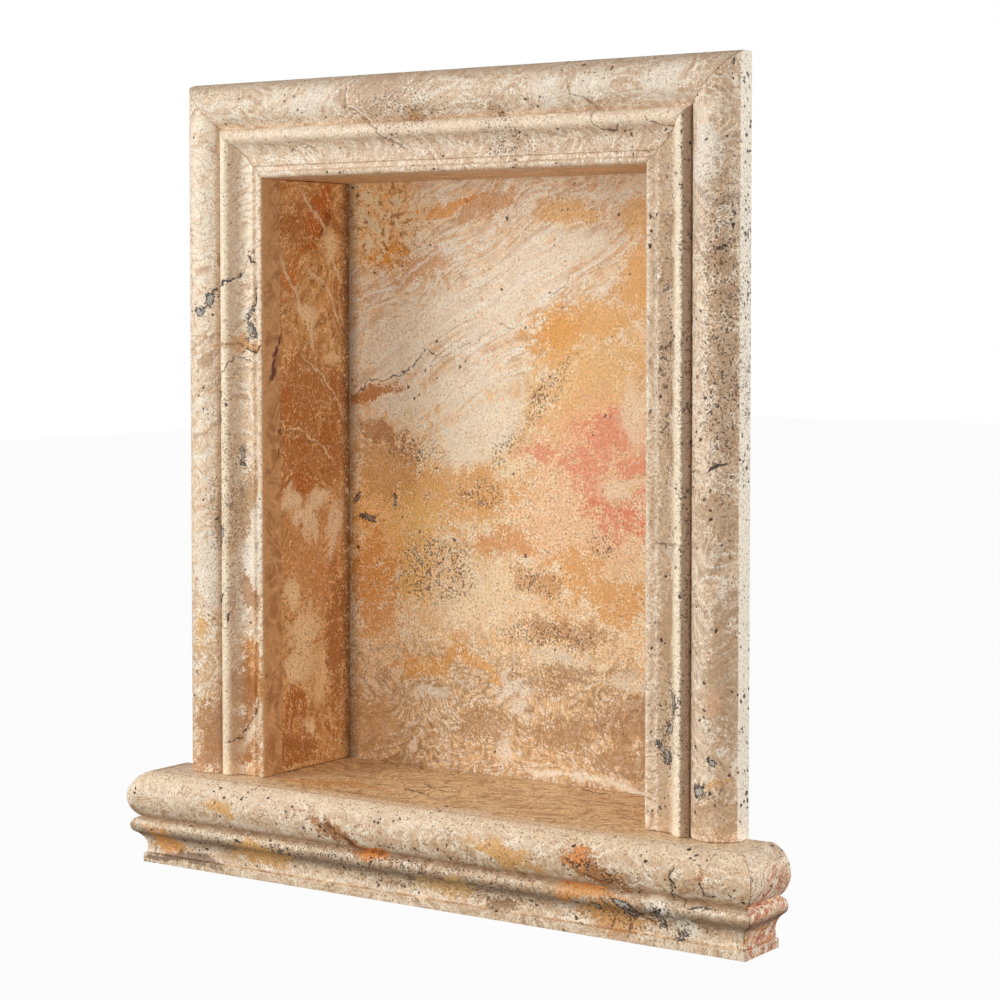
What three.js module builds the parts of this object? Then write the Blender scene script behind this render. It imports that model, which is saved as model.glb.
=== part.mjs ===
// A recessed shower niche in pitted travertine: a moulded frame of three mitred rails,
// a projecting moulded sill with mitred returns, and a shallow box of thin slabs set into the wall.
// Millimetres, +Z up. The wall's face is the plane y = 0 and the room is on its -Y side.
import * as THREE from 'three';

// Overall sizes
const FRAME_WIDTH = 406;      // outer edge to outer edge of the frame
const FRAME_HEIGHT = 444;     // top of the shelf to the top edge of the frame
const BOX_DEPTH = 77;         // wall face to the front of the back slab
const SLAB_THICKNESS = 10;    // side, head and back slabs
const SHELF_THICKNESS = 10;   // the horned slab that the jambs stand on
const JOINT = 0.3;            // width of every joint between two stones

// The rail stock, cut from its flat face: depths are measured back from the highest point
const RAIL_THICKNESS = 22;    // back to crest
const EDGE_DROP = 11;         // crest back to the arris of the outer edge
const TORUS_CREST_AT = 16;    // outer edge to the crest of the big round
const TORUS_WIDTH = 29.6;     // outer edge to the quirk
const QUIRK_DEPTH = 6.9;      // bottom of the narrow groove beside the big round
const OGEE_RISE = 5.3;        // quirk to the crest of the ogee's round part
const OGEE_DROP = 1.5;        // depth of that crest
const OGEE_ROUND = 5.3;       // radius of the round part as it turns over into the hollow
const OGEE_SWEEP = 14.4;      // ogee crest to the floor of the hollow
const HOLLOW_DEPTH = 9.6;     // floor of the hollow
const RIDGE_RUN = 3.4;        // hollow floor to the thin ridge beside it
const RIDGE_DEPTH = 8.8;      // top of that ridge
const RIDGE_WIDTH = 0.8;      // its flat top
const GROOVE_WIDTH = 3.2;     // groove between the ridge and the inner bead
const GROOVE_DEPTH = 10.2;    // floor of that groove
const GROOVE_SLOPE = 0.4;     // run of the groove's steep side
const INNER_BEAD_WIDTH = 4.5; // bead along the opening
const INNER_BEAD_RISE = 2.3;  // height of the bead above the groove's floor

// The frame's seat for the box
const LIP_DEPTH = 5;          // how far the rails' inner margin reaches behind the wall face

// The sill
const SILL_LEDGE = 25;        // how far the sill's stock stands in front of the wall face
const SILL_OVERHANG = 27;     // how far the sill's ends pass the frame's outer edges
const SHELF_JOINT_BACK = 15;  // sill crest back to the joint with the shelf
const SILL_LINE_WIDTH = 1.0;  // fine sunk line above the sill's bottom fillet
const SILL_LINE_DEPTH = 9.9;  // floor of that line
const FILLET_HEIGHT = 5.5;    // flat fillet along the sill's bottom edge
const FILLET_DEPTH = 7.6;     // face of that fillet

// Fineness of the curves
const ARC_STEP = THREE.MathUtils.degToRad(7);

// Sizes that follow from the ones above
const ogeeStart = TORUS_WIDTH;
const ogeeCrestAt = ogeeStart + OGEE_RISE;
const hollowAt = ogeeCrestAt + OGEE_SWEEP;
const ridgeAt = hollowAt + RIDGE_RUN;
const grooveAt = ridgeAt + RIDGE_WIDTH;
const innerBeadAt = grooveAt + GROOVE_WIDTH;
const railWidth = innerBeadAt + INNER_BEAD_WIDTH;
const sillHeight = ridgeAt + SILL_LINE_WIDTH + FILLET_HEIGHT;
const openingWidth = FRAME_WIDTH - 2 * railWidth;
const openingHeight = FRAME_HEIGHT - railWidth;
const boxWidth = openingWidth + 2 * SLAB_THICKNESS;
const lipWidth = SLAB_THICKNESS + JOINT;
const shelfHalfWidth = FRAME_WIDTH / 2 + SILL_OVERHANG - SHELF_JOINT_BACK - JOINT;
const shelfFront = SILL_LEDGE + RAIL_THICKNESS - SHELF_JOINT_BACK - JOINT;
const mitreBack = JOINT / Math.SQRT2;

const stone = {
  frameCream: new THREE.MeshStandardMaterial({ color: 0xdcc6a6, roughness: 0.55, metalness: 0 }),
  sillCream: new THREE.MeshStandardMaterial({ color: 0xdac3a0, roughness: 0.5, metalness: 0 }),
  returnPink: new THREE.MeshStandardMaterial({ color: 0xcfae92, roughness: 0.5, metalness: 0 }),
  shelfTan: new THREE.MeshStandardMaterial({ color: 0xc39b6f, roughness: 0.45, metalness: 0 }),
  sideBrown: new THREE.MeshStandardMaterial({ color: 0xb98a5c, roughness: 0.5, metalness: 0 }),
  headTan: new THREE.MeshStandardMaterial({ color: 0xc8a77e, roughness: 0.5, metalness: 0 }),
  backGold: new THREE.MeshStandardMaterial({ color: 0xd0a878, roughness: 0.5, metalness: 0 }),
};

// Points of a round arc that is level at its crest (or floor) and runs to an end point.
// A point is [across, height]: across the stock from its outer edge, height above its back.
function arcFromLevel(level, end) {
  const run = end[0] - level[0];
  const drop = level[1] - end[1];
  const rise = Math.abs(drop);
  const radius = (run * run + rise * rise) / (2 * rise);
  const turn = Math.atan2(Math.abs(run), radius - rise);
  const steps = Math.max(2, Math.ceil(turn / ARC_STEP));
  const points = [];
  for (let i = 0; i <= steps; i++) {
    const angle = (turn * i) / steps;
    const across = level[0] + Math.sign(run) * radius * Math.sin(angle);
    const height = level[1] - Math.sign(drop) * radius * (1 - Math.cos(angle));
    points.push([across, height]);
  }
  return points;
}

// The big round, the quirk and the ogee, which every rail has, up to the thin ridge
function mouldedFace() {
  const crest = [TORUS_CREST_AT, RAIL_THICKNESS];
  const quirk = [TORUS_WIDTH, RAIL_THICKNESS - QUIRK_DEPTH];
  const ogeeCrest = [ogeeCrestAt, RAIL_THICKNESS - OGEE_DROP];
  const hollow = [hollowAt, RAIL_THICKNESS - HOLLOW_DEPTH];
  const sweepRise = ogeeCrest[1] - hollow[1];
  const bothRadii = (OGEE_SWEEP * OGEE_SWEEP + sweepRise * sweepRise) / (2 * sweepRise);
  const roundShare = OGEE_ROUND / bothRadii;
  const turnover = [ogeeCrestAt + OGEE_SWEEP * roundShare, ogeeCrest[1] - sweepRise * roundShare];
  return [
    ...arcFromLevel(crest, [0, RAIL_THICKNESS - EDGE_DROP]).reverse(),
    ...arcFromLevel(crest, quirk).slice(1),
    ...arcFromLevel(ogeeCrest, quirk).reverse().slice(1),
    ...arcFromLevel(ogeeCrest, turnover).slice(1),
    ...arcFromLevel(hollow, turnover).reverse().slice(1),
    ...arcFromLevel(hollow, [ridgeAt, RAIL_THICKNESS - RIDGE_DEPTH]).slice(1),
  ];
}

// Section of a frame rail: an inner bead, and a lip behind it that the box slabs butt against
function frameSection() {
  const grooveFloor = RAIL_THICKNESS - GROOVE_DEPTH;
  const beadCrest = [innerBeadAt + INNER_BEAD_WIDTH / 2, grooveFloor + INNER_BEAD_RISE];
  return [
    [0, 0],
    ...mouldedFace(),
    [grooveAt, RAIL_THICKNESS - RIDGE_DEPTH],
    [grooveAt + GROOVE_SLOPE, grooveFloor],
    ...arcFromLevel(beadCrest, [innerBeadAt, grooveFloor]).reverse(),
    ...arcFromLevel(beadCrest, [railWidth, grooveFloor]).slice(1),
    [railWidth, -LIP_DEPTH],
    [railWidth - lipWidth, -LIP_DEPTH],
    [railWidth - lipWidth, 0],
  ];
}

// Section of the sill: a flat bottom fillet, and a rebate along the top that takes the shelf's edge
function sillSection() {
  const filletFace = RAIL_THICKNESS - FILLET_DEPTH;
  const rebate = RAIL_THICKNESS - SHELF_JOINT_BACK;
  const rebateFloor = SHELF_THICKNESS + JOINT;
  return [
    [0, rebate],
    ...mouldedFace(),
    [ridgeAt + SILL_LINE_WIDTH / 2, RAIL_THICKNESS - SILL_LINE_DEPTH],
    [ridgeAt + SILL_LINE_WIDTH, filletFace],
    [sillHeight, filletFace],
    [sillHeight, 0],
    [rebateFloor, 0],
    [rebateFloor, rebate],
  ];
}

// How far a rail's end passes its stated length, at a point of the section
const squareEnd = () => 0;
const cornerMitre = (across) => -across - mitreBack;
const returnMitre = (across, height) => height - mitreBack;

// A straight rail. It runs along local X, its outer edge lies at z = 0 and its back at y = 0.
function rail(name, section, length, startEnd, finishEnd, material) {
  const outline = new THREE.Shape(section.map(([across, height]) => new THREE.Vector2(height, across)));
  const geometry = new THREE.ExtrudeGeometry(outline, { depth: 1, bevelEnabled: false });
  const place = geometry.attributes.position;
  for (let i = 0; i < place.count; i++) {
    const height = place.getX(i);
    const across = place.getY(i);
    const start = -startEnd(across, height);
    const finish = length + finishEnd(across, height);
    place.setXYZ(i, THREE.MathUtils.lerp(start, finish, place.getZ(i)), -height, -across);
  }
  geometry.computeVertexNormals();
  const mesh = new THREE.Mesh(geometry, material);
  mesh.name = name;
  return mesh;
}

// A rectangular slab, given by its two opposite corners
function slab(name, low, high, material) {
  const size = high.map((value, axis) => value - low[axis]);
  const mesh = new THREE.Mesh(new THREE.BoxGeometry(...size), material);
  mesh.position.set(...low.map((value, axis) => value + size[axis] / 2));
  mesh.name = name;
  return mesh;
}

// The frame: a top rail between mitres, and two jambs that stand square on the shelf
function frameRails() {
  const section = frameSection();
  const jambLength = FRAME_HEIGHT - JOINT;

  const top = rail('top_rail', section, FRAME_WIDTH, cornerMitre, cornerMitre, stone.frameCream);
  top.position.set(-FRAME_WIDTH / 2, 0, FRAME_HEIGHT);

  const left = rail('left_jamb', section, jambLength, squareEnd, cornerMitre, stone.frameCream);
  left.rotation.y = -Math.PI / 2;
  left.position.set(-FRAME_WIDTH / 2, 0, JOINT);

  const right = rail('right_jamb', section, jambLength, cornerMitre, squareEnd, stone.frameCream);
  right.rotation.y = Math.PI / 2;
  right.position.set(FRAME_WIDTH / 2, 0, FRAME_HEIGHT);
  return [top, left, right];
}

// The sill: one long rail across the front, and a short return at each end back to the wall
function sillRails() {
  const section = sillSection();
  const backHalf = FRAME_WIDTH / 2 + SILL_OVERHANG - RAIL_THICKNESS;

  const front = rail('sill_front', section, 2 * backHalf, returnMitre, returnMitre, stone.sillCream);
  front.position.set(-backHalf, -SILL_LEDGE, 0);

  const left = rail('sill_return_left', section, SILL_LEDGE, squareEnd, returnMitre, stone.returnPink);
  left.rotation.z = -Math.PI / 2;
  left.position.set(-backHalf, 0, 0);

  const right = rail('sill_return_right', section, SILL_LEDGE, returnMitre, squareEnd, stone.returnPink);
  right.rotation.z = Math.PI / 2;
  right.position.set(backHalf, -SILL_LEDGE, 0);
  return [front, left, right];
}

// The shelf: the floor of the box, widened in front of the wall by a horn under each jamb
function shelf() {
  const boxHalf = boxWidth / 2;
  const boxBack = BOX_DEPTH - JOINT;
  const plan = new THREE.Shape([
    new THREE.Vector2(-shelfHalfWidth, -shelfFront),
    new THREE.Vector2(shelfHalfWidth, -shelfFront),
    new THREE.Vector2(shelfHalfWidth, 0),
    new THREE.Vector2(boxHalf, 0),
    new THREE.Vector2(boxHalf, boxBack),
    new THREE.Vector2(-boxHalf, boxBack),
    new THREE.Vector2(-boxHalf, 0),
    new THREE.Vector2(-shelfHalfWidth, 0),
  ]);
  const geometry = new THREE.ExtrudeGeometry(plan, { depth: SHELF_THICKNESS, bevelEnabled: false });
  const mesh = new THREE.Mesh(geometry, stone.shelfTan);
  mesh.position.z = -SHELF_THICKNESS;
  mesh.name = 'shelf';
  return mesh;
}

// The box: two side slabs on the shelf, a head slab across them, and a back slab over all their ends
function boxSlabs() {
  const innerHalf = openingWidth / 2;
  const outerHalf = boxWidth / 2;
  const front = LIP_DEPTH + JOINT;
  const back = BOX_DEPTH - JOINT;
  const sideTop = openingHeight - JOINT;
  const boxTop = openingHeight + SLAB_THICKNESS;
  return [
    slab('side_left', [-outerHalf, front, JOINT], [-innerHalf, back, sideTop], stone.sideBrown),
    slab('side_right', [innerHalf, front, JOINT], [outerHalf, back, sideTop], stone.sideBrown),
    slab('head', [-outerHalf, front, openingHeight], [outerHalf, back, boxTop], stone.headTan),
    slab(
      'back_panel',
      [-outerHalf, BOX_DEPTH, -SHELF_THICKNESS],
      [outerHalf, BOX_DEPTH + SLAB_THICKNESS, boxTop],
      stone.backGold,
    ),
  ];
}

// The origin is the middle of the top rail's flat back, where the frame bears on the wall
const niche = new THREE.Group();
niche.add(...frameRails(), ...sillRails(), shelf(), ...boxSlabs());
niche.position.z = -(FRAME_HEIGHT - (railWidth - lipWidth) / 2);

const part = new THREE.Group();
part.add(niche);
export default part;
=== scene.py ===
import math

import bmesh
import bpy
import numpy as np
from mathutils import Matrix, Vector


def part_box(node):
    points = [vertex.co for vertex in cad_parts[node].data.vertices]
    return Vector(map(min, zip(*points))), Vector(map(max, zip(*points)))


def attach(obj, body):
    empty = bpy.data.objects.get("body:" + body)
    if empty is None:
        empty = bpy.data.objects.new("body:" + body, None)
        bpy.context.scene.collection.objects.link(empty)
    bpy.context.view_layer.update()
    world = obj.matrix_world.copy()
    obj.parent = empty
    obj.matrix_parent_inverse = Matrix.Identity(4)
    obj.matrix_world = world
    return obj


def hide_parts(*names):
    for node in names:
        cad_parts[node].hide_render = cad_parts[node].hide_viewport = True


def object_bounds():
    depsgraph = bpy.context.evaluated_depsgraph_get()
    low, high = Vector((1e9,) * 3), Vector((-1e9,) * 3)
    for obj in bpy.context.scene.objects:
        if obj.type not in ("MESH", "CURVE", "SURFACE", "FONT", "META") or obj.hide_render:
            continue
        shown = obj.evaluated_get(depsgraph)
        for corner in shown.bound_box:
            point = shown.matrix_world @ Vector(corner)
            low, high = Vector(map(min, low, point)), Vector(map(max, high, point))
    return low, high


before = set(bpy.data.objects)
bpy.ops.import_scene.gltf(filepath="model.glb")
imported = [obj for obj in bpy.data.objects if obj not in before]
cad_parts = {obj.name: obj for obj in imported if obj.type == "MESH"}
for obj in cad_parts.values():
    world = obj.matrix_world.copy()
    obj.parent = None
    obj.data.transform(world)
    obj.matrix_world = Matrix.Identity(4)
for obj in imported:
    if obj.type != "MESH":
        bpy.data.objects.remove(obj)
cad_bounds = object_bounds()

# The studio. The niche stands alone on a white floor in white surroundings. A broad soft lamp lights it
# from the left, a small one hangs close in front, one fills it from the right and one edges it from behind.
scene = bpy.context.scene
scene.view_settings.view_transform = "Standard"


def node(tree, kind, inputs, **settings):
    """Adds a node. Each input is a number, a colour or a place, or another node's output."""
    made = tree.nodes.new(kind)
    for setting, value in settings.items():
        setattr(made, setting, value)
    for socket, value in inputs.items():
        if isinstance(value, bpy.types.NodeSocket):
            tree.links.new(value, made.inputs[socket])
        else:
            made.inputs[socket].default_value = value
    return made


def tint(red, green, blue):
    """A colour as the eye reads it, 0 to 255, turned into light for the renderer."""
    share = [channel / 255 for channel in (red, green, blue)]
    return (*[c / 12.92 if c < 0.04045 else ((c + 0.055) / 1.055) ** 2.4 for c in share], 1.0)


floor_level = cad_bounds[0][2]
floor_mesh = bpy.data.meshes.new("studio_floor")
floor_mesh.from_pydata(
    [(-4, -4, floor_level), (4, -4, floor_level), (4, 6, floor_level), (-4, 6, floor_level)],
    [],
    [(0, 1, 2, 3)],
)
studio_floor = bpy.data.objects.new("studio_floor", floor_mesh)
scene.collection.objects.link(studio_floor)
floor_paint = bpy.data.materials.new("studio white")
floor_paint.use_nodes = True
floor_tree = floor_paint.node_tree
floor_tree.nodes.clear()
floor_glow = node(floor_tree, "ShaderNodeEmission", {"Color": (0.97, 0.97, 0.97, 1.0), "Strength": 1.0})
node(floor_tree, "ShaderNodeOutputMaterial", {"Surface": floor_glow.outputs[0]})
floor_paint.cycles.emission_sampling = "NONE"
floor_mesh.materials.append(floor_paint)
studio_floor.visible_diffuse = False
studio_floor.visible_glossy = False

# The camera sees plain white. The stone is lit by a weaker sky that is darker below and on the right.
surroundings = bpy.data.worlds.new("studio surroundings")
surroundings.use_nodes = True
sky_tree = surroundings.node_tree
sky_tree.nodes.clear()
toward = node(sky_tree, "ShaderNodeTexCoord", {}).outputs["Generated"]
climb = node(sky_tree, "ShaderNodeSeparateXYZ", {0: toward}).outputs[2]
by_height = node(sky_tree, "ShaderNodeMapRange", {0: climb, 1: -0.25, 2: 0.35, 3: 0.07, 4: 0.4}).outputs[0]
leftward = node(
    sky_tree, "ShaderNodeVectorMath", {0: toward, 1: (-0.85, -0.5, 0.0)}, operation="DOT_PRODUCT",
).outputs["Value"]
by_side = node(sky_tree, "ShaderNodeMapRange", {0: leftward, 1: -1.0, 2: 1.0, 3: 0.6, 4: 1.4}).outputs[0]
strength = node(sky_tree, "ShaderNodeMath", {0: by_height, 1: by_side}, operation="MULTIPLY").outputs[0]
lit_sky = node(sky_tree, "ShaderNodeBackground", {"Color": (0.96, 0.98, 1.0, 1.0), "Strength": strength})
seen_sky = node(sky_tree, "ShaderNodeBackground", {"Color": (1.0, 1.0, 1.0, 1.0), "Strength": 1.0})
seen_ray = node(sky_tree, "ShaderNodeLightPath", {}).outputs["Is Camera Ray"]
sky = node(sky_tree, "ShaderNodeMixShader", {0: seen_ray, 1: lit_sky.outputs[0], 2: seen_sky.outputs[0]})
node(sky_tree, "ShaderNodeOutputWorld", {"Surface": sky.outputs[0]})
scene.world = surroundings


def soft_lamp(name, place, width, power):
    lamp = bpy.data.lights.new(name, "AREA")
    lamp.shape = "DISK"
    lamp.size = width
    lamp.energy = power
    hung = bpy.data.objects.new(name, lamp)
    hung.location = place
    hung.rotation_euler = (Vector((0, 0, -0.2)) - Vector(place)).to_track_quat("-Z", "Y").to_euler()
    hung.visible_camera = False
    scene.collection.objects.link(hung)


soft_lamp("broad left lamp", (-1.35, -1.25, 0.2), 1.2, 20.5)
soft_lamp("near front lamp", (0.15, -0.9, -0.35), 0.5, 2.2)
soft_lamp("right fill lamp", (1.15, -0.8, -0.3), 0.7, 6.0)
soft_lamp("rear edge lamp", (1.5, 0.9, 0.1), 0.8, 14.0)

camera_data = bpy.data.cameras.new("photo camera")
camera_data.sensor_width = 36
camera_data.lens = 89.595
camera_data.shift_y = -0.0841
camera = bpy.data.objects.new("photo camera", camera_data)
turned, tipped = math.radians(34.3176), math.radians(2.5)
looks_along = Vector((
    -math.sin(turned) * math.cos(tipped),
    math.cos(turned) * math.cos(tipped),
    -math.sin(tipped),
))
camera.location = (0.8748, -1.2346, -0.11755)
camera.rotation_euler = looks_along.to_track_quat("-Z", "Y").to_euler()
scene.collection.objects.link(camera)
scene.camera = camera

# The top rail: a moulded rail of honed travertine between two mitres, bedded on the wall over the opening.
# All rails are cut from one stock: a big round, a quirk, an ogee that sweeps into a hollow, and for the
# frame a thin ridge, a groove and a bead along the opening. From here on, sizes are in millimetres.
millimetres = 1000.0
rubbed_edge = 0.35
joint = 0.3
mitre_back = joint / math.sqrt(2)
rail_thickness = 22.0
torus_crest_at = 16.0
quirk_at = 29.6
ogee_crest_at = quirk_at + 5.3
hollow_at = ogee_crest_at + 14.4
ridge_at = hollow_at + 3.4
groove_at = ridge_at + 0.8
bead_at = groove_at + 3.2
rail_width = bead_at + 4.5
lip_depth = 5.0
lip_width = 10.3


def arc_from_level(level, end, spacing=0.7):
    """Points of a round arc that is level at its crest or floor and runs to an end point."""
    run = end[0] - level[0]
    drop = level[1] - end[1]
    rise = abs(drop)
    radius = (run * run + rise * rise) / (2 * rise)
    turn = math.atan2(abs(run), radius - rise)
    steps = max(3, math.ceil(radius * turn / spacing))
    points = []
    for i in range(steps + 1):
        angle = turn * i / steps
        across = level[0] + math.copysign(radius * math.sin(angle), run)
        height = level[1] - math.copysign(radius * (1 - math.cos(angle)), drop)
        points.append((across, height))
    return points


def moulded_face():
    """The big round, the quirk and the ogee that every rail has, up to the thin ridge."""
    crest = (torus_crest_at, rail_thickness)
    quirk = (quirk_at, rail_thickness - 6.9)
    ogee_crest = (ogee_crest_at, rail_thickness - 1.5)
    hollow = (hollow_at, rail_thickness - 9.6)
    sweep, sweep_rise, round_radius = 14.4, 8.1, 5.3
    round_share = round_radius * 2 * sweep_rise / (sweep * sweep + sweep_rise * sweep_rise)
    turnover = (ogee_crest[0] + sweep * round_share, ogee_crest[1] - sweep_rise * round_share)
    return (
        arc_from_level(crest, (0, rail_thickness - 11))[::-1]
        + arc_from_level(crest, quirk)[1:]
        + arc_from_level(ogee_crest, quirk)[::-1][1:]
        + arc_from_level(ogee_crest, turnover)[1:]
        + arc_from_level(hollow, turnover)[::-1][1:]
        + arc_from_level(hollow, (ridge_at, rail_thickness - 8.8))[1:]
    )


def worn_outline(seen, hidden, spacing=0.8):
    """Closes a section, rubs its sharp corners a little and sets its points close enough for fine relief.
    Returns the points and which of them lie on the face that shows."""
    sharp_turn = 0.35
    most_of_side = 0.4
    corners = [np.array(point, float) for point in seen + hidden]
    rubbed = []
    for i, here in enumerate(corners):
        back = corners[i - 1] - here
        ahead = corners[(i + 1) % len(corners)] - here
        back_length, ahead_length = np.linalg.norm(back), np.linalg.norm(ahead)
        shows = 0 < i < len(seen) - 1
        turn = math.acos(np.clip(-back @ ahead / back_length / ahead_length, -1, 1))
        if turn < sharp_turn:
            rubbed.append((here, shows))
        else:
            start = here + back / back_length * min(rubbed_edge, most_of_side * back_length)
            finish = here + ahead / ahead_length * min(rubbed_edge, most_of_side * ahead_length)
            rubbed += [(start, shows), ((start + 2 * here + finish) / 4, shows), (finish, shows)]
    points, shown = [], []
    for i, (here, shows) in enumerate(rubbed):
        following, following_shows = rubbed[(i + 1) % len(rubbed)]
        steps = math.ceil(np.linalg.norm(following - here) / spacing) if shows or following_shows else 1
        for step in range(steps):
            points.append(here + (following - here) * step / steps)
            shown.append(float(shows and (step == 0 or following_shows)))
    return np.array(points), np.array(shown)


def square_end(across, height):
    return 0 * across


def corner_mitre(across, height):
    return -across - mitre_back


def return_mitre(across, height):
    return height - mitre_back


def add_piece(name, points_mm, faces, shown):
    """Makes a piece from its points and faces, with its faces turned outwards."""
    mesh = bpy.data.meshes.new(name)
    mesh.from_pydata((points_mm / millimetres).tolist(), [], faces)
    turned_out = bmesh.new()
    turned_out.from_mesh(mesh)
    bmesh.ops.recalc_face_normals(turned_out, faces=turned_out.faces)
    turned_out.to_mesh(mesh)
    turned_out.free()
    mesh.attributes.new("shown", "FLOAT", "POINT").data.foreach_set("value", shown)
    piece = bpy.data.objects.new(name, mesh)
    scene.collection.objects.link(piece)
    return piece


def run_stone(name, section, length, start_end, finish_end, place, spacing=0.9, shape=None):
    """Runs a section along a straight length, with its ends cut square or to a mitre and rubbed."""
    outline, outline_shown = section
    ahead = np.roll(outline, -1, axis=0) - np.roll(outline, 1, axis=0)
    outward = np.stack([-ahead[:, 1], ahead[:, 0]], axis=1)
    outward /= np.linalg.norm(outward, axis=1)[:, None]
    rubbed = outline - rubbed_edge * outward * outline_shown[:, None]
    steps = round(length / spacing)
    stations = np.concatenate([[0], np.linspace(rubbed_edge, length - rubbed_edge, steps), [length]])
    rings, shown = [], []
    for i, station in enumerate(stations):
        at_end = i in (0, len(stations) - 1)
        across, height = (rubbed if at_end else outline).T
        start = -start_end(across, height)
        finish = length + finish_end(across, height)
        along = start + (finish - start) * station / length
        rings.append(np.stack(place(along, across, height), axis=1))
        shown.append(outline_shown * (0.0 if at_end else 1.0))
    points = np.concatenate(rings)
    if shape is not None:
        points = shape(points)
    count = len(outline)
    ring = np.arange(count)
    strip = np.stack([ring, np.roll(ring, -1), np.roll(ring, -1) + count, ring + count], axis=1)
    starts = np.arange(len(stations) - 1) * count
    faces = (strip[None] + starts[:, None, None]).reshape(-1, 4).tolist()
    faces.append(ring.tolist())
    faces.append((ring + count * (len(stations) - 1)).tolist())
    return add_piece(name, points, faces, np.concatenate(shown))


def calc(tree, operation, *values, clamp=False):
    inputs = dict(enumerate(values))
    return node(tree, "ShaderNodeMath", inputs, operation=operation, use_clamp=clamp).outputs[0]


def place_calc(tree, operation, *values, scale=None):
    inputs = dict(enumerate(values))
    if scale is not None:
        inputs["Scale"] = scale
    made = node(tree, "ShaderNodeVectorMath", inputs, operation=operation)
    return made.outputs["Value" if operation in ("LENGTH", "DOT_PRODUCT") else "Vector"]


def cloudiness(tree, place, size, detail=2.0, roughness=0.5, seed=0.0, swirl=0.0):
    """Cloudy noise, with clouds of about that size in millimetres. Its outputs are a value and a colour."""
    spot = place_calc(tree, "ADD", place, (seed * 37.1, seed * 61.7, seed * 17.3)) if seed else place
    return node(
        tree, "ShaderNodeTexNoise",
        {"Vector": spot, "Scale": 1 / size, "Detail": detail, "Roughness": roughness, "Distortion": swirl},
    ).outputs


def shaken(tree, place, size, reach, seed):
    """A place moved about in soft waves, which makes what is drawn there wavy or ragged."""
    waves = cloudiness(tree, place, size, 0.0, 0.5, seed)[1]
    centred = place_calc(tree, "SUBTRACT", waves, (0.5, 0.5, 0.5))
    return place_calc(tree, "ADD", place, place_calc(tree, "SCALE", centred, scale=reach))


def torn(tree, place, seed):
    """A place moved about in long waves and short ones, for outlines as uneven as the stone's own."""
    return shaken(tree, shaken(tree, place, 20.0, 14.0, seed), 4.2, 4.0, seed + 0.5)


def fade(tree, value, low, high, from_share, to_share):
    """Goes smoothly from one share to the other while the value goes from low to high."""
    return node(
        tree, "ShaderNodeMapRange",
        {0: value, 1: low, 2: high, 3: from_share, 4: to_share},
        interpolation_type="SMOOTHSTEP",
    ).outputs[0]


def pitting(tree, place, spacing, widest, cover, cluster, seed):
    """Open pits: 0 on sound stone, rising to 1 at the bottom of a wide one. They keep to loose clusters."""
    spot = place_calc(tree, "ADD", place, (seed * 13.7, seed * 29.3, seed * 7.9))
    cells = node(tree, "ShaderNodeTexVoronoi", {"Vector": spot, "Scale": 1 / spacing}).outputs
    lot = node(tree, "ShaderNodeSeparateXYZ", {0: cells["Color"]}).outputs[0]
    crowd = fade(tree, cloudiness(tree, spot, cluster, 1.0)[0], 0.38, 0.6, 0.0, 1.0)
    radius = calc(tree, "MULTIPLY", fade(tree, lot, 1 - cover, 1.0, 0.0, widest / spacing), crowd)
    inside = calc(tree, "SUBTRACT", radius, cells["Distance"])
    steepness = 2.2 * spacing / widest
    return calc(tree, "MULTIPLY", inside, steepness, clamp=True)


def on_face(facing, across, up):
    """A direction or a place on the face that is painted, as a place in the part's own frame."""
    return {"front": (across, 0, up), "side": (0, across, up), "top": (across, up, 0)}[facing]


def nearness(tree, place, line, width, facing):
    """How near a place is to a line of points: below 1 inside its width and more outside."""
    reach_past_ends = 0.62
    nearest = None
    for (x0, y0), (x1, y1) in zip(line, line[1:]):
        length = math.hypot(x1 - x0, y1 - y0)
        c, s = (x1 - x0) / length, (y1 - y0) / length
        half, thin = reach_past_ends * length, width / 2
        from_middle = place_calc(tree, "SUBTRACT", place, on_face(facing, (x0 + x1) / 2, (y0 + y1) / 2))
        along = place_calc(tree, "DOT_PRODUCT", from_middle, on_face(facing, c / half, s / half))
        across = place_calc(tree, "DOT_PRODUCT", from_middle, on_face(facing, -s / thin, c / thin))
        square = calc(tree, "MULTIPLY_ADD", along, along, calc(tree, "MULTIPLY", across, across))
        nearest = square if nearest is None else calc(tree, "MINIMUM", nearest, square)
    return calc(tree, "SQRT", nearest)


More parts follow.
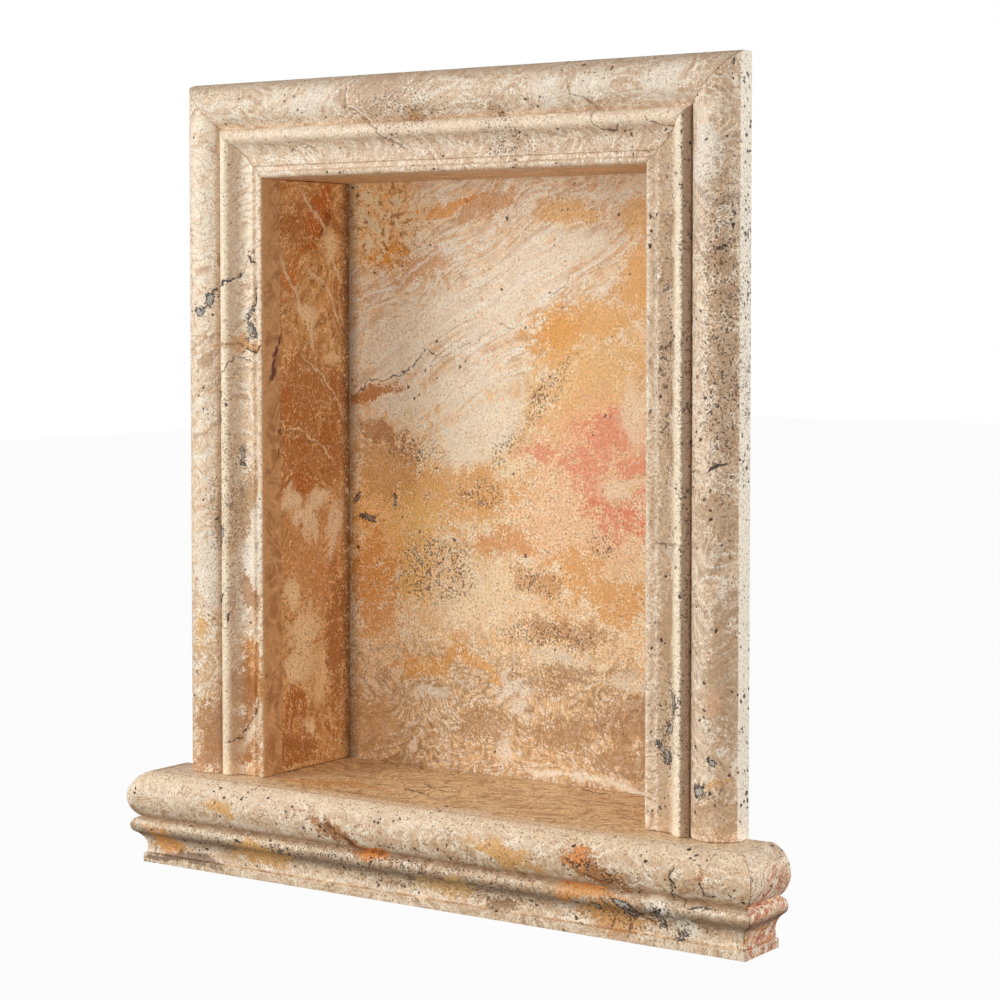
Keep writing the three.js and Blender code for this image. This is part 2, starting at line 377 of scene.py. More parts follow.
class Travertine:
    """The paint of one stone, laid on in layers from the colour of its bed to its last specks.
    Sizes and places are in millimetres in the part's own frame, seen along the face they are on."""

    def __init__(self, name, colour, seed, facing="front"):
        self.material = bpy.data.materials.new(name)
        self.material.use_nodes = True
        self.tree = self.material.node_tree
        self.tree.nodes.clear()
        self.facing = facing
        self.seed = seed
        spot = node(self.tree, "ShaderNodeTexCoord", {}).outputs["Object"]
        self.place = place_calc(self.tree, "SCALE", spot, scale=millimetres)
        self.wavy = shaken(self.tree, self.place, 45.0, 22.0, seed)
        self.ragged = torn(self.tree, self.place, seed + 1)
        self.chipped = shaken(self.tree, self.place, 2.2, 2.4, seed + 2)
        self.grain = cloudiness(self.tree, self.place, 1.5, 2.0, 0.7, seed + 15)[0]
        self.grit = calc(self.tree, "SUBTRACT", self.grain, 0.5)
        self.patches = cloudiness(self.tree, self.ragged, 7.0, 3.0, 0.62, seed + 19)[0]
        self.patchy = calc(self.tree, "SUBTRACT", self.patches, 0.5)
        self.colour = tint(*colour)
        self.edge = calc(self.tree, "MULTIPLY_ADD", self.grit, 0.8, self.patchy)
        self.turned = {}
        self.scars = []
        self.pit_sizes = []

    def ovals(self, ovals):
        """1 on the edge of ovals drawn on the stone's face and less inside them, torn along the edge.
        Each is its centre, its two radii and its lean up to the right, to the nearest ten degrees."""
        nearest = None
        for u, v, wide, high, lean in ovals:
            turn = math.radians(round(lean, -1))
            if (self.facing, turn) not in self.turned:
                axis = {"front": (0, 1, 0), "side": (-1, 0, 0), "top": (0, 0, -1)}[self.facing]
                self.turned[self.facing, turn] = node(
                    self.tree, "ShaderNodeVectorRotate",
                    {"Vector": self.ragged, "Axis": axis, "Angle": turn},
                ).outputs[0] if turn else self.ragged
            c, s = math.cos(turn), math.sin(turn)
            scale = on_face(self.facing, 1 / wide, 1 / high)
            start = on_face(self.facing, -(u * c + v * s) / wide, (u * s - v * c) / high)
            off = place_calc(self.tree, "MULTIPLY_ADD", self.turned[self.facing, turn], scale, start)
            square = place_calc(self.tree, "DOT_PRODUCT", off, off)
            nearest = square if nearest is None else calc(self.tree, "MINIMUM", nearest, square)
        return calc(self.tree, "SQRT", nearest)

    def lay(self, colour, share):
        """Lays a colour over what is there, by a share that may change from place to place."""
        self.colour = node(
            self.tree, "ShaderNodeMix", {0: share, 6: self.colour, 7: tint(*colour)},
            data_type="RGBA",
        ).outputs[2]

    def rough_edged(self, value, rag):
        """A value shaken by the stone's grain, so that whatever ends there ends in a ragged edge."""
        return calc(self.tree, "MULTIPLY_ADD", self.grit, rag, value)

    def within(self, share, zone):
        """Keeps a share inside an oval zone or a list of them."""
        if zone is None:
            return share
        reach = self.ovals(zone if isinstance(zone, list) else [zone])
        reach = calc(self.tree, "MULTIPLY_ADD", self.edge, 1.5, reach)
        return calc(self.tree, "MULTIPLY", share, fade(self.tree, reach, 0.7, 1.3, 1, 0))

    def lay_above(self, colour, field, low, high, strength, zone):
        """Lays a colour where a field rises from low to high, inside a zone if one is given."""
        self.lay(colour, self.within(fade(self.tree, field, low, high, 0, strength), zone))

    def streaks(self, colour, along, length, width, cut, strength, soft=0.07, zone=None, seed=0.0):
        """Short wavy streaks drawn out along a direction, as the stone's beds show on a cut face."""
        direction = Vector(along).normalized()
        run = place_calc(self.tree, "DOT_PRODUCT", self.wavy, direction)
        back = calc(self.tree, "MULTIPLY", run, width / length - 1)
        pulled = place_calc(self.tree, "SCALE", direction, scale=back)
        drawn_out = place_calc(self.tree, "ADD", self.wavy, pulled)
        field = cloudiness(self.tree, drawn_out, width, 2.0, 0.6, self.seed + 5 + seed)[0]
        self.lay_above(colour, self.rough_edged(field, 0.35), cut - soft, cut + soft, strength, zone)

    def folds(self, colour, tip, points, pull, thickness, cut, strength, zone=None, seed=0.0):
        """Folded beds: nested arches with their tips on a line through a point, along a direction."""
        direction = Vector(points).normalized()
        across = {"front": Vector((0, 1, 0)), "side": Vector((1, 0, 0))}[self.facing].cross(direction)
        middle = {"front": Vector((tip[0], 0, tip[1])), "side": Vector((0, *tip))}[self.facing]
        off_line = place_calc(self.tree, "DOT_PRODUCT", self.wavy, across)
        off_line = calc(self.tree, "SUBTRACT", off_line, middle @ across)
        bend = calc(self.tree, "SQRT", calc(self.tree, "MULTIPLY_ADD", off_line, off_line, 9.0))
        ahead = place_calc(self.tree, "DOT_PRODUCT", self.wavy, direction)
        level = calc(self.tree, "MULTIPLY_ADD", bend, pull, ahead)
        layer = node(
            self.tree, "ShaderNodeTexNoise",
            {"W": calc(self.tree, "MULTIPLY_ADD", level, 1 / thickness, 100 + self.seed + seed),
             "Scale": 1.0, "Detail": 3.0, "Roughness": 0.6},
            noise_dimensions="1D",
        ).outputs[0]
        self.lay_above(colour, self.rough_edged(layer, 0.5), cut - 0.1, cut + 0.1, strength, zone)

    def clouds(self, colour, size, cut, strength, soft=0.08, swirl=0.0, zone=None, seed=0.0):
        """Cloudy patches anywhere in the stone."""
        cloud = cloudiness(self.tree, self.wavy, size, 2.0, 0.62, self.seed + 3 + seed, swirl)[0]
        self.lay_above(colour, self.rough_edged(cloud, 0.45), cut - soft, cut + soft, strength, zone)

    def swirls(self, colour, size, turns, strength, thin=0.3, swirl=0.0, zone=None, seed=0.0):
        """Fine curling lines, as a cut across wavy beds shows them: the contour lines of a cloud."""
        cloud = cloudiness(self.tree, self.wavy, size, 1.0, 0.45, self.seed + 9 + seed, swirl)[0]
        cloud = self.rough_edged(cloud, 0.03)
        rings = calc(self.tree, "PINGPONG", calc(self.tree, "MULTIPLY", cloud, turns), 0.5)
        broken = fade(self.tree, self.patches, 0.36, 0.56, 0.15, strength)
        line = calc(self.tree, "MULTIPLY", fade(self.tree, rings, 0.0, thin, 1.0, 0.0), broken)
        self.lay(colour, self.within(line, zone))

    def stain(self, colour, oval, strength, soft=0.25, tear=2.2):
        """One stain with a ragged, torn edge."""
        self.stains(colour, [oval], strength, soft, tear)

    def stains(self, colour, ovals, strength, soft=0.25, tear=2.2):
        """Stains of one colour with ragged, torn edges."""
        reach = calc(self.tree, "MULTIPLY_ADD", self.edge, tear, self.ovals(ovals))
        self.lay(colour, fade(self.tree, reach, 1 - soft, 1 + soft, strength, 0))

    def band(self, colour, axis, middle, reach, strength, soft=0.6, rag=1.0):
        """A band along a moulding or an edge. It paints shade into quirks, hollows and corners and
        highlights onto crests, and also paler or browner strips of the stone.
        """
        across = place_calc(self.tree, "DOT_PRODUCT", self.place, axis)
        off = calc(self.tree, "ABSOLUTE", calc(self.tree, "SUBTRACT", across, middle))
        off = self.rough_edged(calc(self.tree, "DIVIDE", off, reach), rag)
        self.lay(colour, fade(self.tree, off, 1 - soft, 1 + soft, strength, 0))

    def vein(self, colour, line, width, strength=0.7, rag=2.0):
        """One closed vein along a line of points."""
        near = self.rough_edged(nearness(self.tree, self.ragged, line, width, self.facing), rag)
        near = calc(self.tree, "MULTIPLY_ADD", self.patchy, 1.0, near)
        self.lay(colour, fade(self.tree, near, 0.4, 1.4, strength, 0))

    def specks(self, colour, size, cover, strength, crowding=0.5, zone=None, seed=0.0):
        """Specks of a few grains, thicker in some places than in others."""
        dots = cloudiness(self.tree, self.place, size, 1.0, 0.6, self.seed + 11 + seed)[0]
        dense = calc(self.tree, "MULTIPLY_ADD", self.patchy, crowding, dots)
        cut = 0.7 - 0.2 * cover
        self.lay_above(colour, dense, cut - 0.02, cut + 0.05, strength, zone)

    def crack(self, colour, line, width, strength=0.95, cut=0.0):
        """An open crack that swells and closes. One with a cut is also in the piece's own surface."""
        near = self.rough_edged(nearness(self.tree, self.ragged, line, width, self.facing), 2.4)
        depth = fade(self.tree, near, 0.4, 1.3, 1, 0)
        self.lay(colour, calc(self.tree, "MULTIPLY", depth, strength))
        if cut:
            self.scars.append((line, width, cut))

    def crystals(self, hollows, colour=(186, 178, 168)):
        """Hollows half filled with grey crystals, each inside a broken black rim."""
        filled = 0.62
        for u, v, wide, high, lean in hollows:
            self.stain((44, 34, 30), (u, v, wide, high, lean), 1.0, 0.15, 2.6)
            self.stain(colour, (u, v, wide * filled, high * filled, lean), 0.95, 0.2, 3.6)

    def pits(self, colour, spacing, widest, cover, cluster, cut):
        """Open pits in loose clusters, which are also cut into the piece's own surface."""
        recipe = (spacing, widest, cover, cluster, self.seed)
        depth = pitting(self.tree, self.chipped, *recipe)
        self.lay(colour, fade(self.tree, depth, 0.0, 0.35, 0.0, 0.9))
        self.pit_sizes.append((recipe, cut))

    def finish(self, mottle=0.17, coarse=0.3, roughness=0.52):
        """Adds the mottling of the whole stone, fine and coarse, its warm cast and its honed surface."""
        cast = (1.0, 0.985, 0.94)
        tone = calc(self.tree, "MULTIPLY_ADD", self.patchy, coarse, self.grain)
        light = fade(self.tree, tone, 0.28, 0.72, 1 - mottle, 1 + mottle)
        shade = place_calc(self.tree, "SCALE", cast, scale=light)
        self.colour = place_calc(self.tree, "MULTIPLY", self.colour, shade)
        rough = fade(self.tree, self.grain, 0.3, 0.7, roughness - 0.06, roughness + 0.08)
        surface = node(
            self.tree, "ShaderNodeBsdfPrincipled",
            {"Base Color": self.colour, "Roughness": rough, "IOR": 1.45},
        ).outputs[0]
        node(self.tree, "ShaderNodeOutputMaterial", {"Surface": surface})


def weather(piece, stone, unevenness=0.16):
    """Wears the piece's face in geometry: long low unevenness, the wider pits and the deeper cracks.
    Nothing is moved outwards. Then the piece gets its stone and becomes a plain mesh again."""
    tree = bpy.data.node_groups.new("worn " + piece.name, "GeometryNodeTree")
    for socket, kind in (("Geometry", "Geometry"), ("Unevenness", "Float"), ("Stone", "Material")):
        tree.interface.new_socket(name=socket, in_out="INPUT", socket_type="NodeSocket" + kind)
    tree.interface.new_socket(name="Geometry", in_out="OUTPUT", socket_type="NodeSocketGeometry")
    given = node(tree, "NodeGroupInput", {}).outputs
    position = node(tree, "GeometryNodeInputPosition", {}).outputs[0]
    spot = place_calc(tree, "SCALE", position, scale=millimetres)
    ragged = torn(tree, spot, stone.seed + 1)
    chipped = shaken(tree, spot, 2.2, 2.4, stone.seed + 2)
    wave_length = 26.0
    waves = cloudiness(tree, spot, wave_length, 3.0, 0.5, stone.seed + 20)[0]
    depth = calc(tree, "MULTIPLY", waves, given["Unevenness"])
    for recipe, cut in stone.pit_sizes:
        depth = calc(tree, "MULTIPLY_ADD", pitting(tree, chipped, *recipe), cut, depth)
    for line, width, cut in stone.scars:
        near = nearness(tree, ragged, line, width, stone.facing)
        depth = calc(tree, "MULTIPLY_ADD", fade(tree, near, 0.35, 1.15, 1, 0), cut, depth)
    shown = node(tree, "GeometryNodeInputNamedAttribute", {"Name": "shown"}, data_type="FLOAT").outputs[0]
    inward = calc(tree, "MULTIPLY", calc(tree, "MULTIPLY", depth, shown), -1 / millimetres)
    outward = node(tree, "GeometryNodeInputNormal", {}).outputs[0]
    offset = place_calc(tree, "SCALE", outward, scale=inward)
    moved = {"Geometry": given["Geometry"], "Offset": offset}
    worn = node(tree, "GeometryNodeSetPosition", moved).outputs[0]
    solid = node(tree, "GeometryNodeRealizeInstances", {0: worn}).outputs[0]
    coated = {"Geometry": solid, "Material": given["Stone"]}
    painted = node(tree, "GeometryNodeSetMaterial", coated).outputs[0]
    node(tree, "NodeGroupOutput", {"Geometry": painted})

    wear = piece.modifiers.new("wear", "NODES")
    wear.node_group = tree
    sockets = {item.name: item.identifier for item in tree.interface.items_tree if item.in_out == "INPUT"}
    wear[sockets["Unevenness"]] = unevenness
    wear[sockets["Stone"]] = stone.material
    evaluated = piece.evaluated_get(bpy.context.evaluated_depsgraph_get())
    plain = bpy.data.meshes.new_from_object(evaluated)
    piece.modifiers.clear()
    piece.data = plain
    plain.attributes.remove(plain.attributes["shown"])
    plain.polygons.foreach_set("use_smooth", [True] * len(plain.polygons))
    sharpest_smooth_bend = math.radians(52)
    plain.set_sharp_from_angle(angle=sharpest_smooth_bend)


def set_in(piece, cad_node):
    """The piece takes the place of its CAD solid and rides on the part's one body."""
    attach(piece, "root")
    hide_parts(cad_node)


frame_low, frame_high = [Vector(corner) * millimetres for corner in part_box("top_rail")]
frame_width = frame_high.x - frame_low.x
jamb_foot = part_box("left_jamb")[0][2] * millimetres
worn_corner = 5.0


def round_top_left(points):
    """Rubs the frame's outer top left corner round."""
    middle = np.array([frame_low.x + worn_corner, frame_high.z - worn_corner])
    off = points[:, [0, 2]] - middle
    reach = np.linalg.norm(off, axis=1)
    outside = (off[:, 0] < 0) & (off[:, 1] > 0) & (reach > worn_corner)
    points[outside, 0] = middle[0] + off[outside, 0] / reach[outside] * worn_corner
    points[outside, 2] = middle[1] + off[outside, 1] / reach[outside] * worn_corner
    return points


groove_floor = rail_thickness - 10.2
bead_crest = (bead_at + 2.25, groove_floor + 2.3)
frame_section = worn_outline(
    [(0, 0)]
    + moulded_face()
    + [(groove_at, rail_thickness - 8.8), (groove_at + 0.4, groove_floor)]
    + arc_from_level(bead_crest, (bead_at, groove_floor))[::-1]
    + arc_from_level(bead_crest, (rail_width, groove_floor))[1:]
    + [(rail_width, -lip_depth)],
    [(rail_width - lip_width, -lip_depth), (rail_width - lip_width, 0)],
)

stone = Travertine("top rail travertine", (240, 216, 188), seed=1)
stone.stain((228, 198, 168), (20, 5, 95, 60, 0), 0.8, soft=0.5)
stone.stain((212, 182, 154), (150, 4, 70, 50, 0), 0.75, soft=0.5)
stone.streaks((206, 172, 140), (1, 0.3, 0.35), 36, 6, 0.53, 0.5)
stone.streaks((250, 238, 220), (1, 0.3, 0.3), 30, 5, 0.55, 0.6, seed=4)
stone.swirls((170, 128, 94), 44, 19, 0.55, thin=0.22, swirl=0.9)
stone.swirls((255, 246, 230), 34, 13, 0.6, thin=0.24, seed=3)
stone.stains((248, 236, 220), [
    (77, 10, 9, 10, 15), (108, 9, 16, 7, 15), (158, 13, 14, 9, 15), (-97, 11, 12, 8, 15),
], 0.7)
stone.stain((204, 168, 136), (-45, 14, 26, 12, 20), 0.6)
stone.stain((216, 170, 112), (-22, -3, 6, 6, 0), 0.6)
# Painted highlight along the ogee crest.
stone.band((255, 234, 208), (0, 0, 1), -9.6, 4, 0.7)
# Painted shade along the rail's top edge, which faces up.
stone.band((196, 162, 130), (0, 0, 1), 25, 5, 0.45)
pale_line = [(-67, 23), (-70, 17), (-67, 11), (-64, 4), (-60, -1), (-53, -6), (-46, -11), (-29, -20)]
stone.vein((160, 114, 76), [(x - 1, z - 0.8) for x, z in pale_line], 1.8, 0.7)
stone.vein((252, 242, 228), pale_line, 1.5, 0.9)
stone.vein((140, 96, 66), [(92, 11), (93, 4), (101, 0), (110, -3)], 1.2, 0.7)
stone.crack((84, 58, 42), [(110, -3), (109, -10), (119, -14), (130, -14)], 1.3, strength=0.8)
stone.vein((140, 98, 70), [(147, -8), (148, -11), (156, -14), (165, -15)], 1.2, 0.8)
pitted_parts = [(-24, 2, 34, 16, 0), (44, -14, 20, 12, -50)]
stone.specks((150, 108, 72), 1.2, 0.35, 0.6)
stone.specks((96, 64, 42), 1.2, 0.6, 0.8, zone=pitted_parts, seed=2)
stone.pits((74, 50, 36), 3.4, 1.2, 0.5, 26, cut=0.8)
stone.finish()

top_rail = run_stone(
    "top_rail_stone", frame_section, frame_width, corner_mitre, corner_mitre,
    lambda along, across, height: (frame_low.x + along, -height, frame_high.z - across),
    shape=round_top_left,
)
weather(top_rail, stone)
set_in(top_rail, "top_rail")

# The left jamb: the same rail, mitred at its head and standing square on the shelf in a thin joint.
# Pale streaks climb across it to the right, and black-edged cracks cut over its upper part.
stone = Travertine("left jamb travertine", (252, 232, 206), seed=4)
stone.stain((240, 210, 176), (-170, -230, 60, 110, 0), 0.7, soft=0.5)
stone.stain((222, 180, 134), (-165, -400, 60, 88, 0), 0.85, soft=0.35)
stone.streaks((204, 160, 116), (1, 0.2, 0.62), 24, 4, 0.58, 0.5)
stone.streaks((252, 240, 222), (1, 0.2, 0.5), 30, 6, 0.55, 0.55, seed=4)
stone.swirls((172, 128, 90), 46, 18, 0.5, thin=0.22, swirl=0.8)
stone.swirls((255, 248, 234), 34, 13, 0.6, thin=0.24, seed=3)
stone.stain((250, 240, 226), (-150, -278, 8, 44, -6), 0.7)
stone.stain((246, 234, 218), (-176, -284, 16, 26, 0), 0.6)
for colour, ovals in (
    ((220, 156, 84), [(-158, -141, 14, 5, 12), (-166, -272, 5, 9, 0)]),
    ((188, 142, 96), [(-158, -244, 6, 24, -8)]),
    ((190, 150, 110), [(-172, -256, 7, 18, 0)]),
    ((184, 122, 56), [(-168, -312, 5, 10, 0), (-153, -300, 6, 12, 20), (-172, -86, 2.2, 3.6, 20)]),
    ((232, 180, 112), [(-189, -324, 5, 10, 0)]),
    ((214, 142, 62), [(-150, -350, 7, 22, 12)]),
    ((178, 116, 58), [(-160, -362, 14, 12, 30), (-176, -388, 20, 16, 35), (-170, -406, 28, 10, 20)]),
):
    stone.stains(colour, ovals, 0.75)
stone.stain((170, 104, 44), (-154, -374, 5, 36, 0), 0.6)
stone.stain((244, 224, 198), (-151, -388, 4, 17, -28), 0.75)
# Painted shade in the quirk, a painted highlight on the ogee crest and painted shade on the ogee's fall
# into the hollow.
stone.band((186, 146, 108), (1, 0, 0), -174.6, 1.8, 0.5)
stone.band((255, 238, 210), (1, 0, 0), -168, 3.8, 0.8)
stone.band((198, 158, 120), (1, 0, 0), -162, 3.6, 0.5)
stone.vein((150, 100, 58), [(-170, -143), (-160, -141), (-149, -140)], 1.8, 0.7)
for line, width, cut in (
    ([(-163, -95), (-166, -98), (-173, -107), (-178, -112)], 2.2, 0.7),
    ([(-148, -80), (-148, -85), (-154, -83)], 1.4, 0.5),
    ([(-156, -84), (-156, -90), (-150, -93)], 2, 0.6),
):
    stone.crack((50, 40, 36), line, width, cut=cut)
stone.crack((44, 36, 34), [(-146, -104), (-149, -111), (-153, -120), (-155, -127)], 2, cut=0.7)
stone.crack((48, 38, 34), [(-153, -143), (-148, -142), (-144, -139)], 1.5, cut=0.5)
stone.crack((60, 42, 30), [(-145, -366), (-148, -371), (-150, -377)], 1.2, cut=0.4)
stone.crack((60, 42, 30), [(-150, -377), (-156, -384), (-162, -394), (-166, -400)], 1.4, cut=0.5)
stone.crack((90, 60, 36), [(-182, -164), (-172, -158), (-161, -151), (-149, -150)], 1.4, strength=0.8)
stone.crystals([
    (-179, -113, 4.4, 3.8, 30), (-188, -121, 3.6, 3.2, 0), (-154, -121, 3, 3.6, 0),
    (-150, -130, 4.4, 5.2, 0), (-158, -211, 2.4, 6.4, -10), (-172, -260, 2.6, 3.4, 0),
])
stone.stains((60, 46, 38), [
    (-169, -188, 1.8, 3, -20), (-155, -89, 1.8, 2.6, 0), (-176, -162, 1.6, 2.4, 20),
    (-171, -176, 1.4, 3.6, 0), (-164, -182, 1.3, 1.6, 0), (-177, -252, 1.2, 1.6, 0),
    (-172, -268, 1, 3, -20), (-174, -304, 1, 4, -30), (-166, -318, 1.2, 2.4, 0),
], 0.9, tear=1.2)
stone.stains((176, 128, 84), [
    (-180, -138, 16, 2.2, 30), (-178, -150, 15, 1.8, 30), (-182, -168, 14, 2, 30),
    (-186, -196, 10, 2.2, 40), (-160, -160, 9, 1.8, 30), (-158, -176, 8, 2, 30),
], 0.5)
stone.specks((150, 104, 64), 1.2, 0.25, 0.6)
stone.specks((92, 60, 36), 1.3, 0.6, 0.65, zone=[(-168, -250, 12, 80, -4)], seed=2)
stone.pits((70, 46, 32), 3.4, 1.2, 0.5, 26, cut=0.8)

# The jamb's inner edge is brown, and so is its face towards the opening, which two dark veins cross.
stone.band((208, 160, 112), (1, 0, 0), -140.6, 1.7, 0.95, soft=0.1, rag=0.3)
stone.facing = "side"
reveal = [(-2, -240, 7.5, 300, 0)]
stone.clouds((166, 112, 70), 12, 0.5, 0.7, zone=reveal, seed=2)
stone.swirls((232, 188, 142), 30, 14, 0.6, zone=reveal, seed=6)
stone.vein((92, 44, 40), [(5, -134), (3, -145), (-3, -152), (-5, -161)], 3.4, 0.95)
stone.vein((96, 56, 38), [(3, -187), (1, -200), (-1, -215)], 1.3, 0.8)
stone.facing = "front"
stone.finish()

jamb_length = frame_high.z - jamb_foot
left_jamb = run_stone(
    "left_jamb_stone", frame_section, jamb_length, square_end, corner_mitre,
    lambda along, across, height: (frame_low.x + across, -height, jamb_foot + along),
    shape=round_top_left,
)
weather(left_jamb, stone)
set_in(left_jamb, "left_jamb")

# The right jamb, its pair. Its beds lie nearly level and cut the big round in wavy contour lines,
# with crystals and black holes lower down.
stone = Travertine("right jamb travertine", (238, 212, 184), seed=8)
stone.band((216, 176, 138), (1, 0, 0), 199, 10, 0.6, rag=2.4)
stone.streaks((204, 170, 136), (0.5, 0.3, 1), 24, 6, 0.54, 0.4)
stone.streaks((250, 236, 218), (0.5, 0.3, 1), 26, 6, 0.55, 0.5, seed=4)
upper_arch = (192, -70, 24, 30, 0)
stone.folds((160, 130, 106), (192, 0), (0, 0, 1), -0.9, 7, 0.55, 0.6, zone=upper_arch)
folded_foot = (188, -325, 34, 84, 0)
stone.folds((172, 138, 108), (189, 0), (0, 0, 1), -1, 7, 0.53, 0.45, folded_foot, 3)
stone.swirls((158, 120, 86), 42, 19, 0.55, thin=0.22, swirl=1)
stone.swirls((255, 246, 230), 34, 13, 0.6, thin=0.24, seed=3)
stone.stains((186, 146, 108), [
    (194, -90, 7, 9, 15), (195, -114, 8, 8, 15), (197, -139, 9, 12, 15), (194, -160, 9, 14, 15),
    (198, -190, 8, 15, 15), (192, -236, 12, 16, 15), (190, -405, 14, 14, 10), (197, -322, 8, 40, 0),
], 0.6)
stone.stains((164, 124, 84), [
    (158, -71, 5, 7, 0), (158, -96, 5, 9, 0), (159, -136, 5, 8, 0), (158, -166, 5, 13, 0),
    (159, -197, 5, 12, 0), (159, -300, 5, 30, 0),
], 0.65)
stone.stain((248, 238, 226), (184, -30, 9, 20, 0), 0.6)
stone.stain((224, 176, 142), (192, -338, 7, 6, 0), 0.6)
stone.stain((218, 162, 92), (194, -385, 10, 2, 5), 0.7)
# Painted shade in the hollow, a painted highlight on the ogee crest and painted shade in the quirk.
stone.band((188, 152, 116), (1, 0, 0), 154.8, 4.6, 0.75, rag=2.2)
stone.band((255, 238, 212), (1, 0, 0), 166, 4, 0.8, rag=1.6)
stone.band((142, 108, 78), (1, 0, 0), 171.8, 2.6, 0.8, soft=0.3, rag=1.4)
stone.band((255, 244, 228), (1, 0, 0), 204, 1.8, 0.95, soft=0.12, rag=0.4)
stone.vein((120, 90, 70), [(181, -390), (192, -390), (200, -387)], 1, 0.7)
stone.crack((60, 44, 36), [(154, -139), (161, -135), (166, -132)], 1.4, cut=0.5)
stone.stain((48, 36, 32), (192, -207, 3.4, 2, 20), 0.95, tear=0.8)
stone.stain((206, 190, 170), (160, -254, 5, 2.2, 0), 0.9)
stone.vein((112, 82, 58), [(150, -252), (156, -251), (165, -252)], 1, 0.8)
stone.crystals([
    (162, -345, 4.4, 8, 0), (160, -360, 4, 4.6, 0), (156, -377, 3.4, 5.6, 30), (194, -371, 3.2, 2.4, -30),
    (181, -387, 2.6, 3.4, 0),
])
stone.specks((136, 98, 64), 1.2, 0.35, 0.6)
stone.specks((76, 52, 36), 1.4, 0.6, 0.85, seed=2, zone=[
    (194, -130, 13, 100, 0), (158, -130, 5, 110, 0), (160, -350, 8, 34, 0), (171.8, -200, 2.6, 240, 0),
])
stone.pits((60, 42, 32), 3.4, 1.4, 0.6, 24, cut=0.9)
stone.finish()

right_jamb = run_stone(
    "right_jamb_stone", frame_section, jamb_length, corner_mitre, square_end,
    lambda along, across, height: (frame_high.x - across, -height, frame_high.z - along),
)
weather(right_jamb, stone)
set_in(right_jamb, "right_jamb")

# The sill: the rail stock laid across the front with its big round upwards, mitred at both ends. A fine
# sunk line and a flat fillet end it below, and a rebate along its top takes the shelf's front edge.
sill_low, sill_high = [Vector(corner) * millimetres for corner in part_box("sill_front")]
shelf_thickness = 10
rebate = rail_thickness - 15
rebate_floor = shelf_thickness + joint
fillet_face = rail_thickness - 7.6
sill_height = sill_high.z - sill_low.z
sill_back = sill_low.y + rail_thickness
sill_back_half = sill_high.x - rail_thickness + mitre_back
sill_section = worn_outline(
    [(0, rebate)]
    + moulded_face()
    + [(ridge_at + 0.5, rail_thickness - 9.9), (ridge_at + 1, fillet_face)]
    + [(sill_height, fillet_face), (sill_height, 0)],
    [(rebate_floor, 0), (rebate_floor, rebate)],
)

stone = Travertine("sill travertine", (236, 210, 180), seed=12)
stone.stain((212, 180, 146), (140, -442, 170, 26, 0), 0.75, soft=0.5)
stone.streaks((200, 164, 126), (1, 0.2, -0.2), 30, 5, 0.54, 0.5)
stone.streaks((250, 236, 216), (1, 0.2, -0.2), 26, 5, 0.55, 0.5, seed=4)
stone.clouds((206, 170, 132), 12, 0.52, 0.5, swirl=1.5)
stone.swirls((160, 116, 78), 46, 18, 0.55, thin=0.22, swirl=1)
stone.swirls((254, 242, 222), 36, 11, 0.55, seed=3)
# A painted highlight along the top of the big round, painted shade under the ogee crest where it sweeps
# down into the hollow, and painted shade in the quirk.
stone.band((248, 226, 198), (0, 0, 1), -420, 6, 0.55, rag=1.6)
stone.band((128, 98, 72), (0, 0, 1), -457.6, 4.6, 0.5)
stone.band((156, 122, 92), (0, 0, 1), -447.4, 2.4, 0.5)
for colour, ovals in (
    ((222, 166, 92), [(66, -436, 22, 6, -10), (-120, -460, 26, 6, 0), (-150, -434, 14, 5, 0)]),
    ((172, 108, 50), [(-56, -441, 26, 4, -24), (128, -436, 20, 8, -18)]),
    ((228, 142, 62), [(-29, -451, 10, 3.6, -8), (116, -431, 9, 5, 0)]),
    ((226, 154, 78), [(122, -452, 26, 3.4, -3), (-199, -463, 14, 7, -30)]),
    ((212, 152, 84), [(136, -464, 22, 9, 0)]),
    ((222, 178, 116), [(20, -462, 24, 6, 0)]),
    ((120, 88, 66), [(-190, -473.5, 36, 3.4, 0)]),
    ((188, 122, 56), [(196, -431, 2.2, 4, 0)]),
    ((150, 112, 78), [(60, -466, 16, 4, 0)]),
):
    stone.stains(colour, ovals, 0.8)
stone.vein((160, 108, 62), [(-84, -430), (-69, -437), (-55, -444)], 1.4, 0.6)
stone.vein((82, 52, 34), [(-66, -436), (-54, -442), (-44, -446)], 2, 0.85)
for line in (
    [(134, -455), (138, -461), (136, -470)], [(148, -457), (151, -463), (149, -471)],
    [(140, -452), (146, -456), (156, -460), (162, -466)],
    [(108, -430), (120, -438), (134, -442), (144, -440)],
):
    stone.vein((92, 60, 42), line, 1.4, 0.8)
stone.stain((246, 236, 218), (166, -454, 8, 4, -35), 0.8)
stone.stain((244, 234, 218), (184, -463, 9, 4.6, -10), 0.8)
stone.crystals([
    (126, -461, 3.6, 2.6, 0), (150, -457, 7, 2.2, -25), (166, -461, 3, 5.4, 20), (181, -466, 3.2, 2.6, 0),
])
stone.crack((42, 34, 32), [(183, -431), (182, -436), (185, -440), (182, -443)], 2.6, cut=0.9)
stone.crack((42, 34, 32), [(182, -443), (178, -447), (177, -452)], 2, cut=0.7)
stone.crack((52, 40, 34), [(197, -434), (198, -438), (201, -443), (206, -442)], 1.6, cut=0.5)
stone.crack((46, 36, 32), [(180, -448), (190, -450.5), (204, -450)], 1.3, cut=0.4)
stone.specks((132, 92, 56), 1.2, 0.45, 0.65)
stone.specks((66, 42, 28), 1.4, 0.6, 0.85, seed=2, zone=[
    (130, -438, 26, 9, -14), (-40, -455, 150, 10, 0), (160, -462, 46, 9, 0),
])
stone.pits((60, 40, 30), 3.4, 1.4, 0.55, 24, cut=0.9)
stone.finish()

sill_front = run_stone(
    "sill_front_stone", sill_section, 2 * sill_back_half, return_mitre, return_mitre,
    lambda along, across, height: (along - sill_back_half, sill_back - height, sill_high.z - across),
)
weather(sill_front, stone)
set_in(sill_front, "sill_front")

